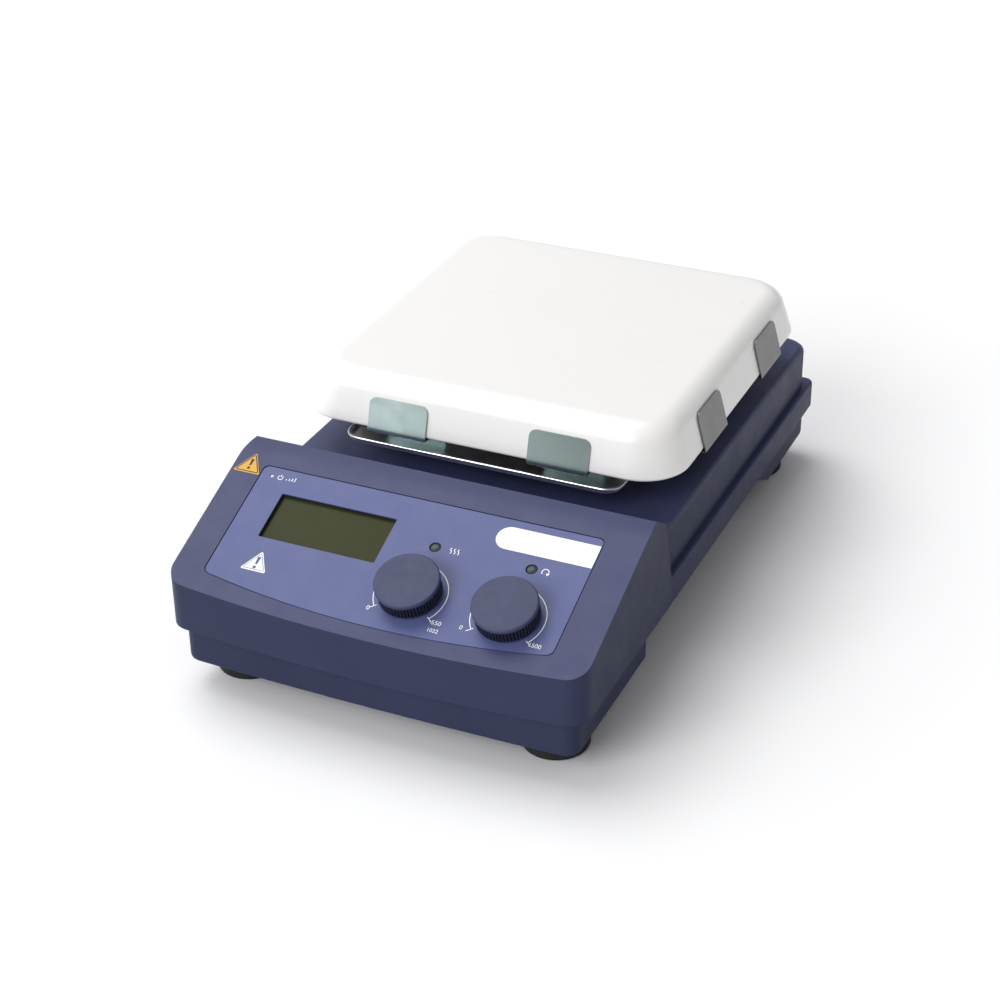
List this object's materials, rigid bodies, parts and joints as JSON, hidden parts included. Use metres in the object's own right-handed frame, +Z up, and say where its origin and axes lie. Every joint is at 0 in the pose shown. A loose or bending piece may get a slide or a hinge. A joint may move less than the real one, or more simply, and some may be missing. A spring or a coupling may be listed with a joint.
{
  "type": "magnetic stirrer",
  "caption": "Bench magnetic stirrer with a heated square plate, a sloped control panel with a display window and two knobs, and a rear power inlet.",
  "frame": {"origin": "centre of the footprint, on the surface that the feet stand on", "axes": "+X to the right of someone facing the control panel, +Y to the rear, +Z up; the panel faces -Y"},
  "size_m": [0.2164, 0.36, 0.1175],
  "materials": {
    "housing_paint": "semi-gloss blue-grey enamel with a fine orange peel",
    "pan_paint": "semi-gloss blue-grey enamel, a little darker",
    "overlay_film": "satin periwinkle film",
    "label_white": "satin white film",
    "label_yellow": "satin yellow film",
    "display_glass": "olive display window under clear acrylic",
    "display_body": "dark glass and frame",
    "circuit_board": "green solder mask",
    "lamp_lens": "smoked lens",
    "power_lens": "pale clear lens",
    "knob_plastic": "satin blue-grey plastic",
    "encoder_metal": "plated steel",
    "screw_steel": "zinc plated",
    "shaft_steel": "ground steel",
    "motor_steel": "plated can",
    "bracket_steel": "zinc plated sheet",
    "sink_aluminium": "extruded",
    "carrier_aluminium": "turned",
    "magnet_nickel": "nickel plated",
    "transformer_core": "varnished core and winding",
    "capacitor_sleeve": "sleeved can",
    "plate_ceramic": "glossy white enamel",
    "element_mica": "mica and resistance wire",
    "insulation_board": "fibrous board",
    "shield_steel": "polished stainless sheet",
    "clip_steel": "satin stainless spring steel",
    "foot_rubber": "matte black",
    "rear_sheet": "satin enamel",
    "black_plastic": "satin black",
    "pin_brass": "plated brass",
    "fuse_glass": "clear"
  },
  "bodies": {
    "case": {"front_housing": "housing_paint", "rear_housing": "housing_paint", "base_pan": "pan_paint", "rubber_feet": "foot_rubber", "foot_screws": "screw_steel", "panel_overlay": "overlay_film", "label_plate": "label_white", "caution_sticker": "label_yellow", "lcd_window": "display_glass", "lcd_module": "display_body", "display_board": "circuit_board", "board_screws": "screw_steel", "power_lamp": "power_lens", "heat_lamp": "lamp_lens", "stir_lamp": "lamp_lens", "heat_encoder": "encoder_metal", "stir_encoder": "encoder_metal", "encoder_nuts": "encoder_metal", "power_board": "circuit_board", "board_posts": "screw_steel", "transformer": "transformer_core", "heat_sink": "sink_aluminium", "capacitors": "capacitor_sleeve", "motor_bracket": "bracket_steel", "bracket_screws": "screw_steel", "motor_stator": "motor_steel", "motor_bearings": "shaft_steel", "motor_screws": "screw_steel", "heating_plate": "plate_ceramic", "heating_element": "element_mica", "insulation_sheet": "insulation_board", "element_clamp": "bracket_steel", "plate_sensor": "shaft_steel", "heat_shield": "shield_steel", "plate_posts": "bracket_steel", "post_screws": "screw_steel", "plate_clips_front": "clip_steel", "plate_clips_rear": "clip_steel", "plate_clips_left": "clip_steel", "plate_clips_right": "clip_steel", "rear_panel": "rear_sheet", "rear_panel_screws": "screw_steel", "power_inlet": "black_plastic", "inlet_pins": "pin_brass", "switch_body": "black_plastic", "probe_socket": "bracket_steel", "data_port": "bracket_steel", "rod_socket": "shaft_steel"},
    "heat_control": {"heat_knob": "knob_plastic", "heat_shaft": "shaft_steel"},
    "stir_control": {"stir_knob": "knob_plastic", "stir_shaft": "shaft_steel"},
    "rotor": {"motor_shaft": "shaft_steel", "magnet_carrier": "carrier_aluminium", "drive_magnets": "magnet_nickel"},
    "power_rocker": {"switch_rocker": "black_plastic"},
    "fuse_tray": {"fuse_drawer": "black_plastic", "fuse": "fuse_glass"}
  },
  "joints": [
    {"name": "heat_knob_turn", "type": "hinge", "parent": "case", "child": "heat_control", "pos_m": [0.0124, -0.15154, 0.06853], "axis": [0, 0.3681, -0.9298], "range_deg": [0, 300]},
    {"name": "stir_knob_turn", "type": "hinge", "parent": "case", "child": "stir_control", "pos_m": [0.0618, -0.15154, 0.06853], "axis": [0, 0.3681, -0.9298], "range_deg": [0, 300]},
    {"name": "rotor_spin", "type": "hinge", "parent": "case", "child": "rotor", "pos_m": [0, 0.0513, 0.0505], "axis": [0, 0, 1], "continuous": true},
    {"name": "switch_rock", "type": "hinge", "parent": "case", "child": "power_rocker", "pos_m": [0.01, 0.172, 0.0505], "axis": [1, 0, 0], "range_deg": [0, 14]},
    {"name": "fuse_slide", "type": "slide", "parent": "case", "child": "fuse_tray", "axis": [0, 1, 0], "range_m": [0, 0.018]}
  ]
}
